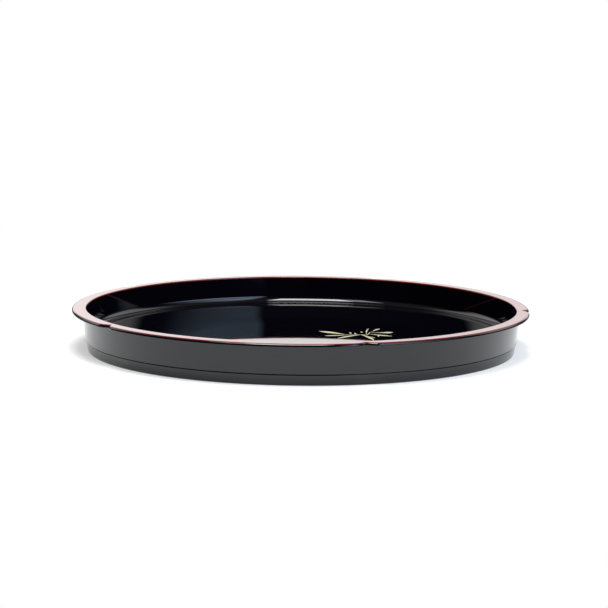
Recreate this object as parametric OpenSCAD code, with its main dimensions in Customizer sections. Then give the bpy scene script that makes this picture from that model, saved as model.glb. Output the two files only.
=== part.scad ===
// Round serving tray with a five-lobed, out-turned rim, a drafted wall, a gently dished well
// and a separate foot ring bonded under the wall.
// The origin is at the middle of the tray on the surface it stands on, +Z is up, and one of
// the five rim notches points along +X.

/* [Overall size] */
// Diameter across the widest part of the rim
tray_d = 360; // [300:1:420]
// Height from the resting surface to the top of the rim
tray_h = 33.2; // [30:0.1:45]

/* [Rim] */
// Number of lobes round the rim, with a notch between each pair
lobes = 5; // [4:1:8]
// How far each lobe's own centre lies out from the middle of the tray
lobe_shift = 5.3; // [3:0.1:8]
// How deep each notch is cut into the rim
notch_depth = 6; // [4:0.1:7]
// Radius of the rounded shoulders on each side of a notch
shoulder_r = 14; // [11:0.5:18]
// Thickness of the rim where it stands out past the wall
rim_t = 2.6; // [2:0.1:4]
// Radius of the rim's rounded outer edge
edge_r = 2.2; // [1.8:0.1:2.2]
// Diameter of the opening inside the rim
opening_d = 337; // [320:1:337]

/* [Wall] */
// Outer diameter of the wall just under the rim
wall_top_d = 342.8; // [342:0.1:344]
// Outer diameter of the wall where it meets the foot ring
wall_low_d = 339; // [336:0.1:340]
// How far the inside of the wall leans in for each millimetre of depth
inner_draft = 0.17; // [0.1:0.01:0.2]

/* [Well] */
// Depth of the middle of the floor below the top of the rim
well_depth = 26.1; // [24:0.1:26.5]
// Diameter at which the flat of the floor and its rising border would meet in a corner
flat_d = 204; // [190:1:220]
// Radius of the broad bend that blends the flat into the border
bend_r = 320; // [200:10:400]
// How far the floor's border rises for each millimetre outwards
border_rise = 0.088; // [0.06:0.002:0.1]
// Radius of the hollow where the border turns up into the wall
hollow_r = 6; // [4:0.5:8]
// Thickness of the floor
floor_t = 2.8; // [2:0.1:3.5]

/* [Foot ring] */
// Height of the joint line between the wall and the foot ring
joint_h = 8.3; // [7.5:0.1:8.6]
// Diameter inside the foot ring
foot_inner_d = 320; // [310:1:324]
// How far the foot ring is set in from the wall above it
foot_inset = 0.8; // [0.3:0.1:1.5]
// How far the foot ring tapers in on its way down
foot_taper = 1.5; // [0.5:0.1:2.5]
// Radius of the foot ring's lower outer edge
foot_round = 1.3; // [0.8:0.1:2]

/* [Lacquer and gold] */
// Thickness of the red coat on the rim
coat_t = 0.3; // [0.2:0.05:0.5]
// How far the red coat turns down over the outer edge of the rim
coat_lip = 0.5; // [0.4:0.1:0.8]
// Radius of the rim's inner edge
bead_r = 0.8; // [0.6:0.1:1.2]
// Thickness of the gold leaf pattern on the floor
gold_t = 0.15; // [0.1:0.05:0.3]

/* [Hidden] */
$fn = 180;

black = "#0b0b0e";
red = "#8e1712";
gold = "#e0d29c";

lobe_angle = 360 / lobes;
lobe_r = tray_d / 2 - lobe_shift;
rim_z = tray_h - rim_t;
floor_z = tray_h - well_depth;
under_z = floor_z - floor_t;
opening_r = opening_d / 2;
over = tray_d / 2 + 5;             // radius safely past the rim
arc_steps = 10;                    // steps in each rounded corner of a profile
edge_steps = 5;                    // steps in the rounded outer edge of the rim

// A notch is centred on +X. Its upper shoulder passes through the tip of the notch and runs
// into the lobe above, a hair past touching, so that the two arcs cross cleanly
tip_r = tray_d / 2 - notch_depth;
past_touching = 0.02;
lobe_c = lobe_shift * [cos(lobe_angle / 2), sin(lobe_angle / 2)];
tip_far = norm([tip_r, 0] - lobe_c);
shoulder_far = lobe_r - shoulder_r + past_touching;
shoulder_turn = acos((shoulder_far ^ 2 + tip_far ^ 2 - shoulder_r ^ 2)
                     / (2 * shoulder_far * tip_far));
shoulder_heading = shoulder_turn - asin(lobe_c.y / tip_far);
shoulder_c = lobe_c + shoulder_far * [cos(shoulder_heading), sin(shoulder_heading)];

// Where the border's line meets the leaning inside of the wall, before the hollow rounds it
wall_foot_r = (opening_r - inner_draft * (tray_h - bead_r - floor_z + border_rise * flat_d / 2))
              / (1 - inner_draft * border_rise);
wall_foot = [wall_foot_r, floor_z + border_rise * (wall_foot_r - flat_d / 2)];

// The spigot under the pan that the foot ring is bonded round
spigot_r = wall_low_d / 2 - 4.5;
spigot_z = joint_h - 3.5;
under_edge_z = under_z + border_rise * (foot_inner_d - flat_d) / 2;
joint_gap = 0.45;                  // half the height of the groove at the joint line
foot_top_r = wall_low_d / 2 - foot_inset;

// The gold pattern: each leaf is [x, y of its base, heading there, length, width, where along
// its length it is widest, how far it turns on the way to its tip]
left_sprig = [[35.5, 29, 138, 28, 5.6, 0.65, 15], [35.5, 28, 206, 18.5, 2.8, 0.6, -22],
              [46, 30.3, 220, 27.5, 3, 0.55, 18]];
right_sprig = [[51.5, 28.5, 98, 34, 1.2, 0.65, -18], [53.2, 42.5, 72, 21.5, 2.1, 0.75, -6],
               [53.4, 41.9, -2, 18.5, 5.6, 0.8, 18], [52.6, 35, -36, 21, 3, 0.6, 18],
               [60.5, 30, -88, 8, 1.4, 0.5, -6], [46, 30.9, -56, 32, 2.6, 0.5, -26],
               [53, 21, -40, 7, 1.2, 0.6, -10]];
buds = [[38.4, 35, 97, 7, 1.6, 0.4, 8], [42.5, 32.3, 100, 6.5, 1.5, 0.4, 8],
        [47.3, 41.5, 103, 5.5, 1.4, 0.4, 8]];
leaf_steps = 12;
// Each stem is [x, y of its start, heading, length]
stems = [[34.8, 28.5, 10, 11.3], [46, 30.7, -12, 5.6], [51.5, 29.5, 82, 13.3]];
stem_w = 0.7;

// Points along an arc about c, from angle a to angle b
function arc(c, r, a, b) =
    [for (i = [0 : arc_steps]) let (t = a + (b - a) * i / arc_steps) c + r * [cos(t), sin(t)]];

// Points along the arc of radius r that rounds the corner at p between points from and to
function round_off(from, p, to, r) =
    let (a = (from - p) / norm(from - p), b = (to - p) / norm(to - p),
         half = acos(a * b) / 2,
         c = p + (a + b) / norm(a + b) * r / sin(half),
         start = p + a * r / tan(half) - c, end = p + b * r / tan(half) - c,
         turn = atan2(start.x * end.y - start.y * end.x, start * end))
    arc(c, r, atan2(start.y, start.x), atan2(start.y, start.x) + turn);

// The rim's outline seen from above, set in by inset all round
module rim_outline(inset = 0) {
    out = [cos(shoulder_heading), sin(shoulder_heading)];
    near = lobe_c + (lobe_r - inset) * out;
    far = near + 12 * out;
    difference() {
        for (i = [0 : lobes - 1]) rotate(lobe_angle * (i + 0.5))
            translate([lobe_shift, 0]) circle(lobe_r - inset);
        for (i = [0 : lobes - 1]) rotate(lobe_angle * i) difference() {
            polygon([[tip_r - 6, 0], near, far, [far.x, -far.y], [near.x, -near.y]]);
            for (side = [-1, 1]) translate([shoulder_c.x, side * shoulder_c.y])
                circle(shoulder_r - inset);
        }
    }
}

// Body of the rim seen from the side as a stack of outlines that round its outer edge. The
// stack is inset by depth, top and sides alike, and cut off at height cut
module rim_body(depth, cut) {
    round_r = edge_r - depth;
    for (i = [0 : edge_steps]) {
        turn = 90 * i / edge_steps;
        linear_extrude(min(cut, tray_h - depth - round_r * (1 - sin(turn))))
            rim_outline(depth + round_r * (1 - cos(turn)));
    }
}

// Turned section of the pan, from the middle of its underside round to the middle of its floor
module pan_section() {
    bead_c = [opening_r + bead_r, tray_h - bead_r];
    coat_end = bead_c.y - 0.2;
    polygon(concat(
        [[0, under_z], [flat_d / 2, under_z], [foot_inner_d / 2, under_edge_z],
         [foot_inner_d / 2, spigot_z], [spigot_r, spigot_z], [spigot_r, joint_h],
         [wall_low_d / 2 - foot_inset - joint_gap, joint_h],
         [wall_low_d / 2 - foot_inset, joint_h + joint_gap]],
        arc([wall_low_d / 2 - joint_gap, joint_h + 2 * joint_gap], joint_gap, -90, 0),
        [[wall_top_d / 2, rim_z - 0.8]],
        arc([wall_top_d / 2 + 0.8, rim_z - 0.8], 0.8, 180, 90),
        [[over, rim_z], [over, tray_h - coat_t]],
        arc(bead_c, bead_r - coat_t, 90, 180),
        [[opening_r + coat_t, coat_end], [opening_r, coat_end]],
        round_off([opening_r, coat_end], wall_foot, [flat_d / 2, floor_z], hollow_r),
        round_off(wall_foot, [flat_d / 2, floor_z], [0, floor_z], bend_r),
        [[0, floor_z]]));
}

// Black shell: rim, wall, hollow and floor in one moulding, with a shallow rebate round the
// top of the rim that the red coat fills
module tray_pan() {
    color(black) intersection() {
        rotate_extrude() pan_section();
        union() {
            rim_body(0, tray_h - coat_lip);
            rim_body(coat_t, tray_h);
        }
    }
}

// Foot ring with a stepped top that fits round the pan's spigot
module foot_ring() {
    inner = foot_inner_d / 2;
    low_r = foot_top_r - foot_taper;
    color(black) rotate_extrude() polygon(concat(
        [[inner, spigot_z], [inner, 0.6], [inner + 0.6, 0]],
        arc([low_r - foot_round, foot_round], foot_round, -90, 0),
        arc([foot_top_r - joint_gap, joint_h - joint_gap], joint_gap, 0, 90),
        [[spigot_r, joint_h], [spigot_r, spigot_z]]));
}

// Red coat over the top of the rim, turned down over its outer edge and its inner bead
module rim_lacquer() {
    bead_c = [opening_r + bead_r, tray_h - bead_r];
    coat_end = bead_c.y - 0.2;
    color(red) difference() {
        intersection() {
            rotate_extrude() polygon(concat(
                [[over, tray_h - coat_lip], [over, tray_h]],
                arc(bead_c, bead_r, 90, 180),
                [[opening_r, coat_end], [opening_r + coat_t, coat_end]],
                arc(bead_c, bead_r - coat_t, 180, 90),
                [[bead_c.x, tray_h - coat_lip]]));
            rim_body(0, tray_h);
        }
        difference() {
            rim_body(coat_t, tray_h);
            cylinder(h = 2 * tray_h, r = bead_c.x - 0.05);
        }
    }
}

// A point on one side of a leaf, a part t of the way along its curved midrib
function leaf_edge(length, width, widest, turn, t, side) =
    let (r = length * 180 / (PI * turn),
         half = width / 2 * sin(180 * t ^ (ln(0.5) / ln(widest))))
    r * [sin(turn * t), 1 - cos(turn * t)] + side * half * [-sin(turn * t), cos(turn * t)];

// One flat leaf with a fine base and a pointed tip, from the origin along +X
module leaf(length, width, widest, turn) {
    polygon([for (side = [-1, 1], i = [1 : leaf_steps])
             let (t = side < 0 ? (i - 1) / leaf_steps : 1 - (i - 1) / leaf_steps)
             leaf_edge(length, width, widest, turn, t, side)]);
}

// A row of leaves laid on the floor
module sprig(leaves) {
    for (l = leaves) translate([l[0], l[1], floor_z]) rotate(l[2])
        linear_extrude(gold_t) leaf(l[3], l[4], l[5], l[6]);
}

// Gold leaves of the left-hand spray
module left_leaves() {
    color(gold) sprig(left_sprig);
}

// Gold leaves of the right-hand spray
module right_leaves() {
    color(gold) sprig(right_sprig);
}

// Thin gold stems that join the two sprays
module leaf_stems() {
    color(gold) difference() {
        for (s = stems) translate([s[0], s[1], floor_z]) rotate(s[2])
            linear_extrude(gold_t) union() {
                translate([0, -stem_w / 2]) square([s[3], stem_w]);
                for (x = [0, s[3]]) translate([x, 0]) circle(d = stem_w);
            }
        translate([0, 0, -gold_t]) {
            sprig(left_sprig);
            sprig(right_sprig);
        }
        sprig(left_sprig);
        sprig(right_sprig);
    }
}

// Small unopened gold buds above the stems
module leaf_buds() {
    color(gold) sprig(buds);
}

tray_pan();
foot_ring();
rim_lacquer();
left_leaves();
right_leaves();
leaf_stems();
leaf_buds();
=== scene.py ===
# %% [markdown]
# # A lobed lacquer serving tray
# The tray is a round black moulding with a red-topped, five-lobed rim, a mirror-gloss floor
# that rises gently towards the wall, a gold leaf pattern and a foot ring. Its sizes come from
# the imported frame. Gloss needs far finer curves than the frame's triangles hold, so each
# piece is turned again here to the same sizes.

import math

import bmesh
import bpy
from mathutils import Matrix, Vector


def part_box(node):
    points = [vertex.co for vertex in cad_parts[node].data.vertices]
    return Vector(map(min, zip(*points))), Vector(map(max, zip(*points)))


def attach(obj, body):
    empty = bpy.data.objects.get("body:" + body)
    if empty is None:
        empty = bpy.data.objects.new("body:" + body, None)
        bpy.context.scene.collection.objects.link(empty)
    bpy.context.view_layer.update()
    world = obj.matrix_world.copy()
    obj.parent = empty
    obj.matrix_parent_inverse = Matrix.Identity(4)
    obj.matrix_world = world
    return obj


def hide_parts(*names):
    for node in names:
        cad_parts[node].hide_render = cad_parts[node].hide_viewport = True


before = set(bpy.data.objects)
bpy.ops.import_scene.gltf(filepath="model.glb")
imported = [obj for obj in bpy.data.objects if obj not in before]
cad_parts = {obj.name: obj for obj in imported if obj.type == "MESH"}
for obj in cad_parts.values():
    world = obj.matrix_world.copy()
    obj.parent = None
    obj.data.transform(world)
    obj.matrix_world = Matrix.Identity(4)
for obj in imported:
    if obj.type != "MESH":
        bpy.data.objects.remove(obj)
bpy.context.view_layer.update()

# %% [markdown]
# ## Driving sizes
# Everything is in metres. Heights and outer sizes are read from the frame's boxes, so the new
# pieces fit the frame exactly. The few inner sizes that a box can't give are named here.

# %% Sizes
MM = 0.001
pan_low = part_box("tray_pan")[0]
coat_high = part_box("rim_lacquer")[1]
foot_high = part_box("foot_ring")[1]
leaf_low, leaf_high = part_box("left_leaves")

RIM_R = -pan_low.x
RIM_TOP = coat_high.z
RIM_UNDER_Z = RIM_TOP - 2.6 * MM
EDGE_R = 2.2 * MM  # the rim's rounded outer edge
OPENING_R = 168.5 * MM
BEAD_R = 0.8 * MM  # the rim's rounded inner edge

WALL_TOP_R = 171.4 * MM
WALL_LOW_R = 169.5 * MM
UNDER_Z = pan_low.z
FLOOR_Z = leaf_low.z
FLOOR_T = FLOOR_Z - UNDER_Z

COAT_T = 0.05 * MM  # the rebate that the red coat fills
COAT_LIP_Z = RIM_TOP - 0.5 * MM
COAT_END_Z = RIM_TOP - BEAD_R - 0.2 * MM
GOLD_T = leaf_high.z - leaf_low.z

JOINT_Z = foot_high.z
JOINT_GAP = 0.45 * MM
SPIGOT_R = 165.0 * MM
SPIGOT_Z = JOINT_Z - 3.5 * MM
FOOT_TOP_R = foot_high.x
FOOT_INNER_R = 160.0 * MM
print("rim radius", RIM_R, "height", RIM_TOP, "floor at", FLOOR_Z)

# %% [markdown]
# ## The camera
# The view is a long lens from a little above the rim. The camera looks at the middle of the
# rim. It stands two degrees round from the front and is tilted by half a degree.

# %% Camera
def aim_camera(target, distance, azimuth, elevation, roll):
    """Places a camera that looks at target from this far away; angles are in degrees."""
    a, e = math.radians(azimuth), math.radians(elevation)
    back = Vector((math.sin(a) * math.cos(e), -math.cos(a) * math.cos(e), math.sin(e)))
    camera = bpy.data.objects.new("camera", bpy.data.cameras.new("camera"))
    bpy.context.collection.objects.link(camera)
    camera.location = target + distance * back
    look = back.to_track_quat("Z", "Y").to_matrix().to_4x4()
    turn = look @ Matrix.Rotation(math.radians(roll), 4, "Z")
    camera.rotation_euler = turn.to_euler()
    return camera


camera = aim_camera(Vector((0, 0, RIM_TOP)), distance=2.5868, azimuth=2.16,
                    elevation=8.677, roll=0.5255)
camera.data.sensor_width = 36.0
camera.data.lens = 195.22
camera.data.shift_x = 0.00440
camera.data.shift_y = 0.00525
camera.data.clip_end = 50.0
bpy.context.scene.camera = camera
print("camera at", tuple(round(v, 3) for v in camera.location))

# %% [markdown]
# ## Helpers for turned pieces
# A moulded or turned piece is one outline swept round an axis. An outline starts as a few
# corners joined by edges. Each corner that is rounded on the real piece is bevelled as a
# vertex, which leaves an arc, and then spin sweeps the whole outline round.

# %% Draw an outline and round its corners
ARC_STEP = math.radians(5)


def draw_section(corners, closed):
    """Makes an outline of (radius, height, rounding) corners as a chain of edges."""
    bm = bmesh.new()
    verts = [bm.verts.new((r, 0, z)) for r, z, _ in corners]
    ends = zip(verts, verts[1:] + verts[:1] if closed else verts[1:])
    for start, end in ends:
        bm.edges.new((start, end))
    for vert, (_, _, rounding) in zip(verts, corners):
        if rounding:
            round_corner(bm, vert, rounding)
    return bm


def round_corner(bm, vert, rounding):
    """Turns one corner of an outline into an arc of this radius."""
    one, two = [(edge.other_vert(vert).co - vert.co).normalized() for edge in vert.link_edges]
    half_angle = one.angle(two) / 2
    steps = max(6, round((math.pi - 2 * half_angle) / ARC_STEP))
    bmesh.ops.bevel(bm, geom=[vert], offset=rounding / math.tan(half_angle),
                    offset_type="OFFSET", segments=steps, profile=0.5,
                    affect="VERTICES", material=-1)


# %% Spin an outline all the way round
def spin_full(bm, steps):
    """Sweeps the outline once round the upright axis and welds it shut."""
    bmesh.ops.spin(bm, geom=bm.verts[:] + bm.edges[:], cent=(0, 0, 0), axis=(0, 0, 1),
                   dvec=(0, 0, 0), angle=math.tau, steps=steps, use_merge=True,
                   use_duplicate=False, use_normal_flip=False)
    bmesh.ops.remove_doubles(bm, verts=bm.verts[:], dist=0.001 * MM)
    return bm


# %% Finish a bmesh as a piece on the tray
def finish_piece(bm, name, material, nodes, skin=0):
    """Faces a bmesh outward, shades it, and lets it ride in place of its nodes.

    An open sheet is given a thickness of skin, inward from its upper face.
    """
    bmesh.ops.recalc_face_normals(bm, faces=bm.faces[:])
    if skin and sum(face.normal.z for face in bm.faces) < 0:
        bmesh.ops.reverse_faces(bm, faces=bm.faces[:])
    for face in bm.faces:
        face.smooth = True
    mesh = bpy.data.meshes.new(name)
    bm.to_mesh(mesh)
    bm.free()
    mesh.materials.append(material)
    piece = bpy.data.objects.new(name, mesh)
    bpy.context.collection.objects.link(piece)
    if skin:
        solid = piece.modifiers.new("skin", "SOLIDIFY")
        solid.thickness = skin
        solid.offset = -1
    even = piece.modifiers.new("even_normals", "WEIGHTED_NORMAL")
    even.keep_sharp = True
    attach(piece, "root")
    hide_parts(*nodes)
    print(name, len(mesh.vertices), "vertices", len(mesh.polygons), "faces")
    return piece


# %% [markdown]
# ## The lobed rim
# Seen from above, the rim is five shallow arcs whose centres lie a little out from the middle,
# with a notch between each pair. A notch is two rounded shoulders that meet in a point. One
# half lobe holds the whole shape: it is spun as a wedge, its rim is pulled in to the outline,
# and then it is mirrored and copied round.

# %% Outline of the rim
LOBES = 5
LOBE_SHIFT = 5.3 * MM
SHOULDER_R = 14.0 * MM
NOTCH_DEPTH = 6.0 * MM
HALF_LOBE = math.pi / LOBES
lobe_centre = LOBE_SHIFT * Vector((math.cos(HALF_LOBE), math.sin(HALF_LOBE)))
lobe_arc_r = RIM_R - LOBE_SHIFT
notch_tip = Vector((RIM_R - NOTCH_DEPTH, 0))


def find_shoulder():
    """Centre of a notch's shoulder, and the heading from the lobe's centre through it."""
    far = lobe_arc_r - SHOULDER_R
    to_tip = notch_tip - lobe_centre
    turn = math.acos((far ** 2 + to_tip.length ** 2 - SHOULDER_R ** 2)
                     / (2 * far * to_tip.length))
    heading = math.atan2(to_tip.y, to_tip.x) + turn
    return lobe_centre + far * Vector((math.cos(heading), math.sin(heading))), heading


shoulder_centre, shoulder_heading = find_shoulder()
shoulder_end = lobe_centre + lobe_arc_r * Vector((math.cos(shoulder_heading),
                                                  math.sin(shoulder_heading)))
SHOULDER_ANGLE = math.atan2(shoulder_end.y, shoulder_end.x)


def ray_to_circle(angle, centre, radius):
    """How far a ray from the middle runs before it leaves a circle."""
    along = centre.dot(Vector((math.cos(angle), math.sin(angle))))
    return along + math.sqrt(radius ** 2 - centre.length_squared + along ** 2)


def rim_radius(angle):
    """Radius of the rim's outline at an angle of 0 to half a lobe from a notch."""
    if angle < SHOULDER_ANGLE:
        return ray_to_circle(angle, shoulder_centre, SHOULDER_R)
    return ray_to_circle(angle, lobe_centre, lobe_arc_r)


print("notch tip", rim_radius(0), "lobe end", rim_radius(SHOULDER_ANGLE), "top", RIM_R)

# %% Spin a lobed piece
HALF_STEPS = 72
FINE_AT_NOTCH = 0.25  # the first step beside a notch, in parts of an even step
PULL_FROM = WALL_TOP_R + 0.85 * MM  # just outside the corner under the rim
PULL_TO = RIM_R - EDGE_R - 0.05 * MM  # just inside the rounded outer edge


def crowd(part):
    """Shifts even steps towards the notch, where the outline bends most."""
    return part * (FINE_AT_NOTCH + (1 - FINE_AT_NOTCH) * part ** 2)


def pull_to_outline(vert):
    """Moves a vertex of the half lobe to its crowded angle and in to the rim's outline."""
    radius, z = math.hypot(vert.co.x, vert.co.y), vert.co.z
    if radius < 1e-7:
        return
    part = min(1.0, max(0.0, math.atan2(vert.co.y, vert.co.x) / HALF_LOBE))
    angle = HALF_LOBE * crowd(part)
    weight = min(1.0, max(0.0, (radius - PULL_FROM) / (PULL_TO - PULL_FROM)))
    radius += weight * (rim_radius(angle) - RIM_R)
    vert.co = (radius * math.cos(angle), radius * math.sin(angle), z)


def spin_lobed(bm):
    """Sweeps half a lobe, shapes its rim, mirrors it and repeats it round the axis."""
    bmesh.ops.spin(bm, geom=bm.verts[:] + bm.edges[:], cent=(0, 0, 0), axis=(0, 0, 1),
                   dvec=(0, 0, 0), angle=HALF_LOBE, steps=HALF_STEPS, use_merge=False,
                   use_duplicate=False, use_normal_flip=False)
    for vert in bm.verts:
        pull_to_outline(vert)
    bmesh.ops.mirror(bm, geom=bm.verts[:] + bm.edges[:] + bm.faces[:], matrix=Matrix(),
                     merge_dist=0.0001 * MM, axis="Y")
    lobe = bm.verts[:] + bm.edges[:] + bm.faces[:]
    for i in range(1, LOBES):
        copy = bmesh.ops.duplicate(bm, geom=lobe)["geom"]
        bmesh.ops.rotate(bm, verts=[v for v in copy if isinstance(v, bmesh.types.BMVert)],
                         cent=(0, 0, 0), matrix=Matrix.Rotation(2 * HALF_LOBE * i, 3, "Z"))
    bmesh.ops.remove_doubles(bm, verts=bm.verts[:], dist=0.002 * MM)
    return bm


# %% [markdown]
# ## What lacquer does to a surface
# Sprayed lacquer dries almost flat. It keeps a very faint swell, a few thousandths of a
# millimetre high, and a fine haze where cloths have wiped it. Both colours share this, so it
# is one node group that gives a height and a roughness.

# %% Lacquer surface group
def new_group(name, inputs, outputs):
    """Makes a shader node group with float inputs (name, default) and float outputs."""
    group = bpy.data.node_groups.new(name, "ShaderNodeTree")
    for socket, default in inputs:
        made = group.interface.new_socket(socket, in_out="INPUT", socket_type="NodeSocketFloat")
        made.default_value = default
    for socket in outputs:
        group.interface.new_socket(socket, in_out="OUTPUT", socket_type="NodeSocketFloat")
    return group, group.nodes.new("NodeGroupInput"), group.nodes.new("NodeGroupOutput")


def add_node(tree, kind, **values):
    """Adds a node and sets each value on the input of that name, or on the node itself."""
    node = tree.nodes.new(kind)
    for name, value in values.items():
        socket = node.inputs.get(name.replace("_", " ").title())
        if socket is not None:
            socket.default_value = value
        else:
            setattr(node, name, value)
    return node


surface_group, g_in, g_out = new_group(
    "lacquer_surface",
    [("Swell Scale", 70.0), ("Base Roughness", 0.03), ("Haze", 0.03)],
    ["Height", "Roughness"])
coords = add_node(surface_group, "ShaderNodeTexCoord")
swell = add_node(surface_group, "ShaderNodeTexNoise", detail=1.0, roughness=0.4)
wipe = add_node(surface_group, "ShaderNodeTexNoise", scale=9.0, detail=5.0, roughness=0.65)
soft_wipe = add_node(surface_group, "ShaderNodeMapRange", from_min=0.42, from_max=0.75)
haze = add_node(surface_group, "ShaderNodeMath", operation="MULTIPLY_ADD")
links = surface_group.links
links.new(coords.outputs["Object"], swell.inputs["Vector"])
links.new(coords.outputs["Object"], wipe.inputs["Vector"])
links.new(g_in.outputs["Swell Scale"], swell.inputs["Scale"])
links.new(wipe.outputs["Fac"], soft_wipe.inputs["Value"])
links.new(soft_wipe.outputs["Result"], haze.inputs[0])
links.new(g_in.outputs["Haze"], haze.inputs[1])
links.new(g_in.outputs["Base Roughness"], haze.inputs[2])
links.new(swell.outputs["Fac"], g_out.inputs["Height"])
links.new(haze.outputs["Value"], g_out.inputs["Roughness"])
print("group", surface_group.name, [s.name for s in surface_group.interface.items_tree])

# %% [markdown]
# ## Black and red lacquer
# Both are the same clear gloss over a colour, so one function makes them. The black is almost
# without colour of its own. The red is a deep vermilion that pales where it mirrors light.

# %% Lacquer materials
def lacquer(name, colour, deep_colour, base_roughness, haze_amount):
    """A gloss lacquer whose colour shifts very slightly in broad clouds."""
    material = bpy.data.materials.new(name)
    material.use_nodes = True
    tree = material.node_tree
    shader = tree.nodes["Principled BSDF"]
    shader.inputs["IOR"].default_value = 1.5
    surface = add_node(tree, "ShaderNodeGroup")
    surface.node_tree = surface_group
    surface.inputs["Base Roughness"].default_value = base_roughness
    surface.inputs["Haze"].default_value = haze_amount
    bump = add_node(tree, "ShaderNodeBump", strength=1.0, distance=0.002 * MM)
    coords = add_node(tree, "ShaderNodeTexCoord")
    clouds = add_node(tree, "ShaderNodeTexNoise", scale=25.0, detail=3.0)
    tint = add_node(tree, "ShaderNodeMix", data_type="RGBA")
    tint.inputs["A"].default_value = deep_colour
    tint.inputs["B"].default_value = colour
    links = tree.links
    links.new(coords.outputs["Object"], clouds.inputs["Vector"])
    links.new(clouds.outputs["Fac"], tint.inputs["Factor"])
    links.new(tint.outputs["Result"], shader.inputs["Base Color"])
    links.new(surface.outputs["Height"], bump.inputs["Height"])
    links.new(bump.outputs["Normal"], shader.inputs["Normal"])
    links.new(surface.outputs["Roughness"], shader.inputs["Roughness"])
    return material


black_lacquer = lacquer("black_lacquer", colour=(0.0012, 0.0010, 0.0024, 1),
                        deep_colour=(0.0009, 0.0008, 0.0018, 1),
                        base_roughness=0.02, haze_amount=0.03)
red_lacquer = lacquer("red_lacquer", colour=(0.15, 0.012, 0.006, 1),
                      deep_colour=(0.12, 0.009, 0.005, 1),
                      base_roughness=0.05, haze_amount=0.04)
print("materials", black_lacquer.name, red_lacquer.name)

# %% [markdown]
# ## The pan
# The pan is one moulding: floor, hollow, a wall that leans out, and rim. The middle of the
# floor is flat, so that the gold lies flat on it, and its border rises gently to the hollow at
# the foot of the wall. The outline starts in the middle of the underside, goes out and up
# round the rim, and comes back in to the middle of the floor.

# %% Where the floor's border meets the wall
FLAT_R = 102.0 * MM  # where the flat and the border would meet without the bend
BEND_R = 320.0 * MM
BORDER_RISE = 0.088  # rise of the border for each unit outwards
HOLLOW_R = 6.0 * MM
DRAFT = 0.17  # how far the wall leans out for each unit of height
GOLD_R = 45.0 * MM  # an extra ring under the leaves


def border_z(radius):
    """Height of the floor's rising border, as a straight line, at this radius."""
    return FLOOR_Z + BORDER_RISE * (radius - FLAT_R)


wall_foot_r = ((OPENING_R - DRAFT * (RIM_TOP - BEAD_R - FLOOR_Z + BORDER_RISE * FLAT_R))
               / (1 - DRAFT * BORDER_RISE))
print("wall meets border at radius", wall_foot_r, "height", border_z(wall_foot_r))

# %% Pan
pan_corners = [
    # The underside and the spigot that the foot ring fits round
    (0, UNDER_Z, 0), (FLAT_R, UNDER_Z, 0), (FOOT_INNER_R, border_z(FOOT_INNER_R) - FLOOR_T, 0),
    (FOOT_INNER_R, SPIGOT_Z, 0), (SPIGOT_R, SPIGOT_Z, 0), (SPIGOT_R, JOINT_Z, 0),
    # The groove at the joint, and the outside of the wall
    (FOOT_TOP_R - JOINT_GAP, JOINT_Z, 0), (FOOT_TOP_R, JOINT_Z + JOINT_GAP, 0),
    (WALL_LOW_R, JOINT_Z + JOINT_GAP, 0.4 * MM), (WALL_TOP_R, RIM_UNDER_Z, 0.8 * MM),
    # The rim, with the rebate for the coat
    (RIM_R, RIM_UNDER_Z, 0.35 * MM), (RIM_R, RIM_TOP - COAT_T, EDGE_R),
    (OPENING_R + COAT_T, RIM_TOP - COAT_T, BEAD_R - COAT_T),
    (OPENING_R + COAT_T, COAT_END_Z, 0), (OPENING_R, COAT_END_Z, 0),
    # The inside of the wall, the hollow, the border and the flat
    (wall_foot_r, border_z(wall_foot_r), HOLLOW_R), (FLAT_R, FLOOR_Z, BEND_R),
    (GOLD_R, FLOOR_Z, 0), (0, FLOOR_Z, 0)]
pan = finish_piece(spin_lobed(draw_section(pan_corners, closed=False)), "pan",
                   black_lacquer, ["tray_pan"])

# %% [markdown]
# ## The red coat
# The coat is a film over the rim's top. It turns down over the rounded outer edge and ends
# there in a sharp line, and on the inside it wraps the small inner edge. It starts as a sheet
# with the rim's own outline, and Solidify gives it a skin's thickness, a little thinner than
# the rebate, so that the two never share a face.

# %% Red coat
coat_corners = [(RIM_R, RIM_UNDER_Z, 0), (RIM_R, RIM_TOP, EDGE_R),
                (OPENING_R, RIM_TOP, BEAD_R), (OPENING_R, COAT_END_Z, 0)]
bm = draw_section(coat_corners, closed=False)
outer = [vert for vert in bm.verts if vert.co.x > RIM_R - EDGE_R - 0.5 * MM]
outer_edges = list({edge for vert in outer for edge in vert.link_edges})
bmesh.ops.bisect_plane(bm, geom=outer + outer_edges, dist=0.001 * MM,
                       plane_co=(0, 0, COAT_LIP_Z), plane_no=(0, 0, 1), clear_inner=True)
coat = finish_piece(spin_lobed(bm), "rim_coat", red_lacquer, ["rim_lacquer"],
                    skin=0.9 * COAT_T)

# %% [markdown]
# ## The foot ring
# The ring is bonded round the spigot under the pan. It is set in a little, so the joint shows
# as a fine dark groove, and it tapers down to a rounded edge.

# %% Foot ring
FOOT_TAPER = 1.5 * MM
FOOT_STEPS = 480
foot_corners = [
    (FOOT_INNER_R, 0, 0.6 * MM), (FOOT_TOP_R - FOOT_TAPER, 0, 1.3 * MM),
    (FOOT_TOP_R, JOINT_Z, JOINT_GAP), (SPIGOT_R, JOINT_Z, 0), (SPIGOT_R, SPIGOT_Z, 0),
    (FOOT_INNER_R, SPIGOT_Z, 0)]
foot = finish_piece(spin_full(draw_section(foot_corners, closed=True), FOOT_STEPS), "foot",
                    black_lacquer, ["foot_ring"])

# %% [markdown]
# ## Gold leaves
# The pattern is a thin film of gold-coloured pigment, so it is matt beside the lacquer and
# stays bright where the floor mirrors the dark wall. Each leaf starts as a flat grid that is
# squeezed to a leaf's outline, bent along its rib, and raised by the film's thickness. A stem
# is a narrow grid.

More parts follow.
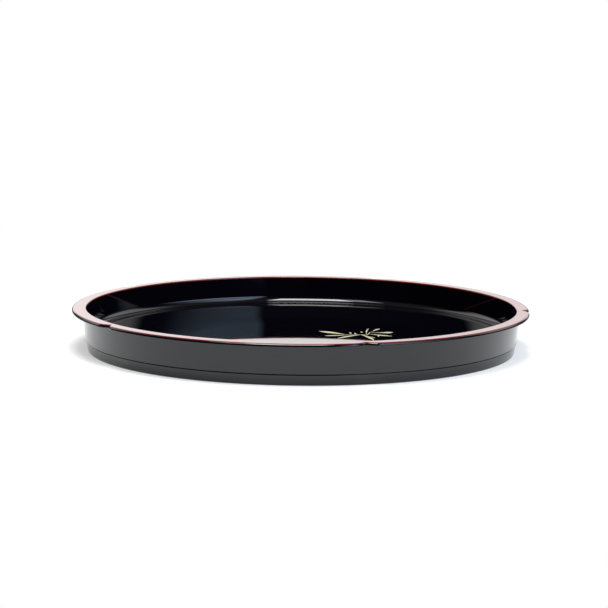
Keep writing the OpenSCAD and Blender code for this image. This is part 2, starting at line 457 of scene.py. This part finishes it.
# %% Gold material
def gold_film():
    """Pale gold pigment with a fine grain and soft cloudy patches."""
    material = bpy.data.materials.new("gold_leaf")
    material.use_nodes = True
    tree = material.node_tree
    shader = tree.nodes["Principled BSDF"]
    shader.inputs["Metallic"].default_value = 0.25
    coords = add_node(tree, "ShaderNodeTexCoord")
    grain = add_node(tree, "ShaderNodeTexNoise", scale=2500.0, detail=2.0)
    clouds = add_node(tree, "ShaderNodeTexNoise", scale=120.0, detail=4.0)
    tint = add_node(tree, "ShaderNodeMix", data_type="RGBA")
    tint.inputs["A"].default_value = (0.40, 0.34, 0.17, 1)
    tint.inputs["B"].default_value = (0.60, 0.55, 0.34, 1)
    rough = add_node(tree, "ShaderNodeMapRange", to_min=0.38, to_max=0.58)
    bump = add_node(tree, "ShaderNodeBump", strength=0.6, distance=0.02 * MM)
    links = tree.links
    links.new(coords.outputs["Object"], grain.inputs["Vector"])
    links.new(coords.outputs["Object"], clouds.inputs["Vector"])
    links.new(clouds.outputs["Fac"], tint.inputs["Factor"])
    links.new(tint.outputs["Result"], shader.inputs["Base Color"])
    links.new(grain.outputs["Fac"], rough.inputs["Value"])
    links.new(rough.outputs["Result"], shader.inputs["Roughness"])
    links.new(grain.outputs["Fac"], bump.inputs["Height"])
    links.new(bump.outputs["Normal"], shader.inputs["Normal"])
    return material


gold_leaf = gold_film()
print("material", gold_leaf.name)

# %% Leaf shapes
# Each leaf: x and y of its base in mm, heading there, length, width, where it is widest, turn
LEFT_SPRIG = [(35.5, 29, 138, 28, 5.6, 0.65, 15), (35.5, 28, 206, 18.5, 2.8, 0.6, -22),
              (46, 30.3, 220, 27.5, 3, 0.55, 18)]
RIGHT_SPRIG = [(51.5, 28.5, 98, 34, 1.2, 0.65, -18), (53.2, 42.5, 72, 21.5, 2.1, 0.75, -6),
               (53.4, 41.9, -2, 18.5, 5.6, 0.8, 18), (52.6, 35, -36, 21, 3, 0.6, 18),
               (60.5, 30, -88, 8, 1.4, 0.5, -6), (46, 30.9, -56, 32, 2.6, 0.5, -26),
               (53, 21, -40, 7, 1.2, 0.6, -10)]
BUDS = [(38.4, 35, 97, 7, 1.6, 0.4, 8), (42.5, 32.3, 100, 6.5, 1.5, 0.4, 8),
        (47.3, 41.5, 103, 5.5, 1.4, 0.4, 8)]
# Each stem: x and y of its start in mm, heading, length
STEMS = [(34.8, 28.5, 10, 11.3), (46, 30.7, -12, 5.6), (51.5, 29.5, 82, 13.3)]
STEM_W = 0.7


def lay_film(bm, faces):
    """Raises a flat patch by the film's thickness and closes its underside."""
    raised = bmesh.ops.extrude_face_region(bm, geom=faces, use_keep_orig=True)["geom"]
    bmesh.ops.translate(bm, verts=[v for v in raised if isinstance(v, bmesh.types.BMVert)],
                        vec=(0, 0, GOLD_T))


def add_leaf(bm, x, y, heading, length, width, widest, turn):
    """Adds one leaf whose rib is an arc that turns by turn degrees."""
    made = bmesh.ops.create_grid(bm, x_segments=28, y_segments=4, size=0.5)["verts"]
    bend = math.radians(turn)
    radius = length / bend
    fullness = math.log(0.5) / math.log(widest)
    for vert in made:
        t, across = vert.co.x + 0.5, 2 * vert.co.y
        half = width / 2 * math.sin(math.pi * min(1.0, max(0.0, t)) ** fullness)
        out = radius - across * half
        vert.co = (out * math.sin(bend * t), radius - out * math.cos(bend * t), 0)
    faces = list({face for vert in made for face in vert.link_faces})
    place = (Matrix.Translation((x * MM, y * MM, FLOOR_Z))
             @ Matrix.Rotation(math.radians(heading), 4, "Z") @ Matrix.Scale(MM, 4))
    bmesh.ops.transform(bm, matrix=place, verts=made)
    bmesh.ops.remove_doubles(bm, verts=made, dist=0.002 * MM)
    lay_film(bm, [face for face in faces if face.is_valid])


def make_sprig(name, leaves, nodes):
    """Makes a group of leaves as one piece."""
    bm = bmesh.new()
    for leaf in leaves:
        add_leaf(bm, *leaf)
    return finish_piece(bm, name, gold_leaf, nodes)


make_sprig("leaves_left", LEFT_SPRIG, ["left_leaves"])
make_sprig("leaves_right", RIGHT_SPRIG, ["right_leaves"])
make_sprig("buds", BUDS, ["leaf_buds"])

# %% Stems
bm = bmesh.new()
for x, y, heading, length in STEMS:
    made = bmesh.ops.create_grid(bm, x_segments=12, y_segments=2, size=0.5)["verts"]
    place = (Matrix.Translation((x * MM, y * MM, FLOOR_Z))
             @ Matrix.Rotation(math.radians(heading), 4, "Z")
             @ Matrix.Diagonal((length * MM, STEM_W * MM, MM, 1))
             @ Matrix.Translation((0.5, 0, 0)))
    bmesh.ops.transform(bm, matrix=place, verts=made)
    lay_film(bm, list({face for vert in made for face in vert.link_faces}))
finish_piece(bm, "stems", gold_leaf, ["leaf_stems"])

# %% [markdown]
# ## The light table
# The tray stands on a matt white sheet that is lit from above and glows a little from below,
# so the shadow stays soft and the foot ring still mirrors a bright surface.

# %% Floor
FLOOR_HALF = 0.7


def light_table(name, colour, glow):
    """Matt white sheet for the studio floor, lit a little from below."""
    material = bpy.data.materials.new(name)
    material.use_nodes = True
    shader = material.node_tree.nodes["Principled BSDF"]
    shader.inputs["Base Color"].default_value = colour
    shader.inputs["Roughness"].default_value = 0.9
    shader.inputs["Specular IOR Level"].default_value = 0.0
    shader.inputs["Emission Color"].default_value = (1, 1, 1, 1)
    shader.inputs["Emission Strength"].default_value = glow
    return material


bm = bmesh.new()
bmesh.ops.create_grid(bm, x_segments=1, y_segments=1, size=FLOOR_HALF)
floor_mesh = bpy.data.meshes.new("floor")
bm.to_mesh(floor_mesh)
bm.free()
floor_mesh.materials.append(light_table("light_table", colour=(0.58, 0.58, 0.58, 1), glow=0.47))
floor = bpy.data.objects.new("floor", floor_mesh)
bpy.context.collection.objects.link(floor)
print("floor", 2 * FLOOR_HALF, "wide")

# %% [markdown]
# ## Soft boxes
# A bright soft box hangs overhead and makes the thin highlights in the hollow, and a dim one
# beside it lets them fade out. A large fill lights the sheet from the front, but the gloss
# doesn't mirror it.

# %% Soft boxes
def soft_box(name, place, aim, size, power, colour=(1, 1, 1)):
    """A rectangular light at place that faces aim."""
    light = bpy.data.lights.new(name, "AREA")
    light.shape = "RECTANGLE"
    light.size, light.size_y = size
    light.energy = power
    light.color = colour
    box = bpy.data.objects.new(name, light)
    bpy.context.collection.objects.link(box)
    box.location = place
    box.rotation_euler = (Vector(place) - Vector(aim)).to_track_quat("Z", "Y").to_euler()
    return box


soft_box("overhead", place=(-0.07, -0.35, 1.45), aim=(-0.07, -0.12, 0), size=(0.66, 0.70),
         power=22)
soft_box("overhead_edge", place=(-0.56, -0.35, 1.45), aim=(-0.56, -0.12, 0), size=(0.32, 0.70),
         power=3)
fill = soft_box("fill", place=(0.9, -1.4, 1.9), aim=(0.2, -0.2, 0), size=(2.4, 1.8), power=32,
                colour=(0.90, 0.96, 1.0))
fill.visible_glossy = False

# %% [markdown]
# ## Surroundings
# Black gloss shows only what it mirrors, so what stands round the tray is half of the finish.
# Each part is a mask over directions from the tray: x is right, y is away and z is up, each
# from -1 to 1. A white backdrop stands behind, a pale blue panel on the right, a pair of white
# wings at the back on both sides, and a dim ceiling. The camera's own side stays dark in the
# gloss, while the camera itself sees plain white past the floor.

# %% Directions
world = bpy.data.worlds.new("studio")
bpy.context.scene.world = world
world.use_nodes = True
tree = world.node_tree
sky = tree.nodes["Background"]
coords = add_node(tree, "ShaderNodeTexCoord")
split = add_node(tree, "ShaderNodeSeparateXYZ")
tree.links.new(coords.outputs["Generated"], split.inputs["Vector"])


def fade(value, start, end):
    """Goes smoothly from 0 to 1 as a value goes from start to end."""
    node = add_node(tree, "ShaderNodeMapRange", interpolation_type="SMOOTHSTEP",
                    from_min=start, from_max=end)
    tree.links.new(value, node.inputs["Value"])
    return node.outputs["Result"]


def combine(operation, one, two):
    """Combines a value with another value or with a number."""
    node = add_node(tree, "ShaderNodeMath", operation=operation)
    tree.links.new(one, node.inputs[0])
    if isinstance(two, (int, float)):
        node.inputs[1].default_value = two
    else:
        tree.links.new(two, node.inputs[1])
    return node.outputs["Value"]


def multiply(first, *others):
    """Multiplies several values, of which all but the first may be numbers."""
    for other in others:
        first = combine("MULTIPLY", first, other)
    return first


x, y, z = (split.outputs[axis] for axis in "XYZ")
side = combine("ABSOLUTE", x, 0)

# %% What stands round the tray
BACKDROP = 1.4
BRIGHTER_LEFT = 0.3
PANEL = 2.7
PANEL_BETWEEN = 0.75  # how bright the panel is between its two boxes
PALE_BLUE = (0.58, 0.76, 1.0, 1)
WINGS = 1.4
CEILING = 0.14

backdrop_light = combine("ADD", multiply(fade(x, 0.06, -0.12), BRIGHTER_LEFT), BACKDROP)
backdrop = multiply(backdrop_light, fade(y, 0.0, 0.15), fade(side, 0.45, 0.25),
                    fade(z, 0.65, 0.40), fade(z, 0.02, 0.12))
seen = add_node(tree, "ShaderNodeLightPath").outputs["Is Camera Ray"]
backdrop = combine("MAXIMUM", backdrop, seen)

wings = multiply(fade(side, 0.4, 0.6), fade(y, 0.25, 0.46), fade(z, 0.15, 0.35), WINGS)
ceiling = multiply(fade(z, 0.50, 0.75), CEILING)
white_parts = combine("ADD", backdrop, combine("ADD", wings, ceiling))

low_box, high_box = fade(z, 0.47, 0.38), fade(z, 0.55, 0.75)
panel_light = combine("ADD", combine("ADD", low_box, high_box), PANEL_BETWEEN)
panel = multiply(panel_light, fade(x, 0.34, 0.43), fade(y, 0.08, -0.60),
                 fade(z, 0.19, 0.27), fade(z, 0.99, 0.92), PANEL)

tint = add_node(tree, "ShaderNodeMix", data_type="RGBA", blend_type="MULTIPLY")
tint.inputs["Factor"].default_value = 1.0
tint.inputs["A"].default_value = PALE_BLUE
total = add_node(tree, "ShaderNodeMix", data_type="RGBA", blend_type="ADD")
total.inputs["Factor"].default_value = 1.0
tree.links.new(panel, tint.inputs["B"])
tree.links.new(white_parts, total.inputs["A"])
tree.links.new(tint.outputs["Result"], total.inputs["B"])
tree.links.new(total.outputs["Result"], sky.inputs["Color"])
sky.inputs["Strength"].default_value = 1.0
bpy.context.scene.view_settings.view_transform = "Standard"
print("world nodes", len(tree.nodes))
